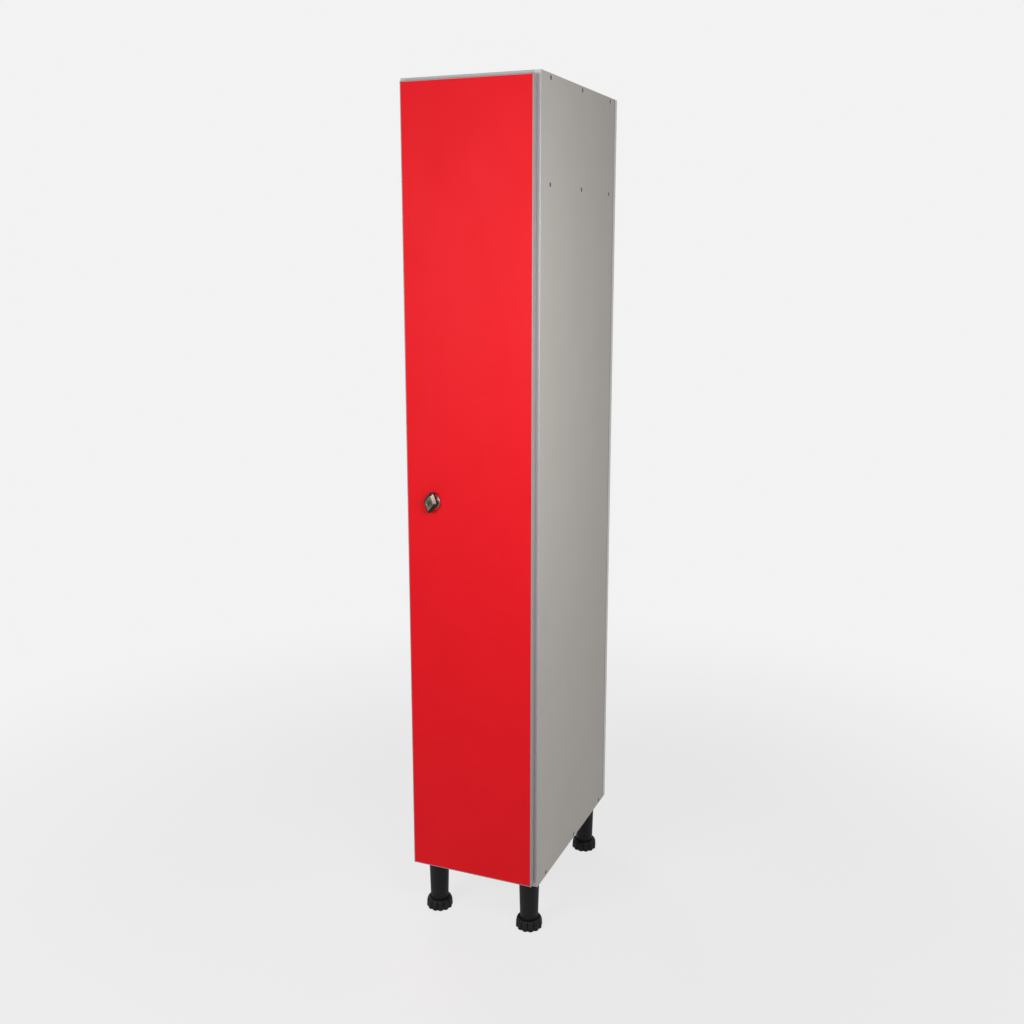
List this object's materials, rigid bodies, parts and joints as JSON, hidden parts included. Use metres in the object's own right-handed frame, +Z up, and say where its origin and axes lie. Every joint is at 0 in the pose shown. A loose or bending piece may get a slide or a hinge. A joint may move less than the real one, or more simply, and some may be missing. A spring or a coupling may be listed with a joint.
{
  "type": "melamine locker",
  "caption": "Tall narrow melamine storage locker with a swinging door on concealed hinges, a turning knob lock, a hat shelf, a clothes rail and levelling legs.",
  "frame": {"origin": "on the floor under the middle of the bounding box", "axes": "+X to the right as one faces the door, +Y to the back, +Z up"},
  "size_m": [0.3, 0.52, 1.83],
  "materials": {
    "melamine": "light grey melamine on chipboard, satin",
    "carcass_band": "light grey edge band",
    "door_red": "red melamine on chipboard, semi-gloss",
    "door_band": "light grey edge band",
    "screw_zinc": "zinc plated",
    "rail_chrome": "bright chrome",
    "hinge_steel": "nickel plated pressing",
    "lock_nickel": "satin nickel",
    "lock_steel": "zinc plated",
    "leg_plastic": "black moulded plastic"
  },
  "bodies": {
    "carcass": {"side_panel_left": "melamine", "side_panel_right": "melamine", "top_panel": "melamine", "bottom_panel": "melamine", "back_panel": "melamine", "hat_shelf": "melamine", "carcass_edge_bands": "carcass_band", "back_edge_bands": "carcass_band", "shelf_edge_band": "carcass_band", "assembly_screws_left": "screw_zinc", "assembly_screws_right": "screw_zinc", "back_screws": "screw_zinc", "clothes_rail": "rail_chrome", "rail_socket_left": "rail_chrome", "rail_socket_right": "rail_chrome", "rail_screws": "screw_zinc", "hinge_arm_1": "hinge_steel", "hinge_arm_2": "hinge_steel", "hinge_arm_3": "hinge_steel", "hinge_arm_4": "hinge_steel", "hinge_plate_1": "hinge_steel", "hinge_plate_2": "hinge_steel", "hinge_plate_3": "hinge_steel", "hinge_plate_4": "hinge_steel", "hinge_plate_screws": "screw_zinc", "hinge_arm_screws": "screw_zinc", "strike_plate": "lock_steel", "strike_screws": "screw_zinc", "leg_socket_front_left": "leg_plastic", "leg_socket_front_right": "leg_plastic", "leg_socket_back_left": "leg_plastic", "leg_socket_back_right": "leg_plastic", "leg_tube_front_left": "leg_plastic", "leg_tube_front_right": "leg_plastic", "leg_tube_back_left": "leg_plastic", "leg_tube_back_right": "leg_plastic", "leg_screws": "screw_zinc"},
    "door": {"door_panel": "door_red", "door_edge_bands": "door_band", "hinge_cup_1": "hinge_steel", "hinge_cup_2": "hinge_steel", "hinge_cup_3": "hinge_steel", "hinge_cup_4": "hinge_steel", "hinge_pin_1": "hinge_steel", "hinge_pin_2": "hinge_steel", "hinge_pin_3": "hinge_steel", "hinge_pin_4": "hinge_steel", "hinge_cup_screws": "screw_zinc", "lock_rosette": "lock_nickel", "lock_housing": "lock_steel", "lock_nut": "lock_steel"},
    "knob": {"lock_knob": "lock_nickel", "lock_cam": "lock_steel", "cam_screw": "screw_zinc"},
    "plug": {"key_plug": "lock_steel"},
    "foot_front_left": {"leg_foot_front_left": "leg_plastic"},
    "foot_front_right": {"leg_foot_front_right": "leg_plastic"},
    "foot_back_left": {"leg_foot_back_left": "leg_plastic"},
    "foot_back_right": {"leg_foot_back_right": "leg_plastic"}
  },
  "joints": [
    {"name": "door_swing", "type": "hinge", "parent": "carcass", "child": "door", "pos_m": [0.1349, -0.232, 0.98], "axis": [0, 0, 1], "range_deg": [0, 110]},
    {"name": "knob_turn", "type": "hinge", "parent": "door", "child": "knob", "pos_m": [-0.081, -0.24, 0.98], "axis": [0, 1, 0], "range_deg": [-10, 80]},
    {"name": "key_turn", "type": "hinge", "parent": "knob", "child": "plug", "pos_m": [-0.081, -0.254, 0.98], "axis": [0, 1, 0], "range_deg": [0, 90]},
    {"name": "foot_screw_front_left", "type": "slide", "parent": "carcass", "child": "foot_front_left", "axis": [0, 0, -1], "range_m": [0, 0.02]},
    {"name": "foot_screw_front_right", "type": "slide", "parent": "carcass", "child": "foot_front_right", "axis": [0, 0, -1], "range_m": [0, 0.02]},
    {"name": "foot_screw_back_left", "type": "slide", "parent": "carcass", "child": "foot_back_left", "axis": [0, 0, -1], "range_m": [0, 0.02]},
    {"name": "foot_screw_back_right", "type": "slide", "parent": "carcass", "child": "foot_back_right", "axis": [0, 0, -1], "range_m": [0, 0.02]}
  ]
}
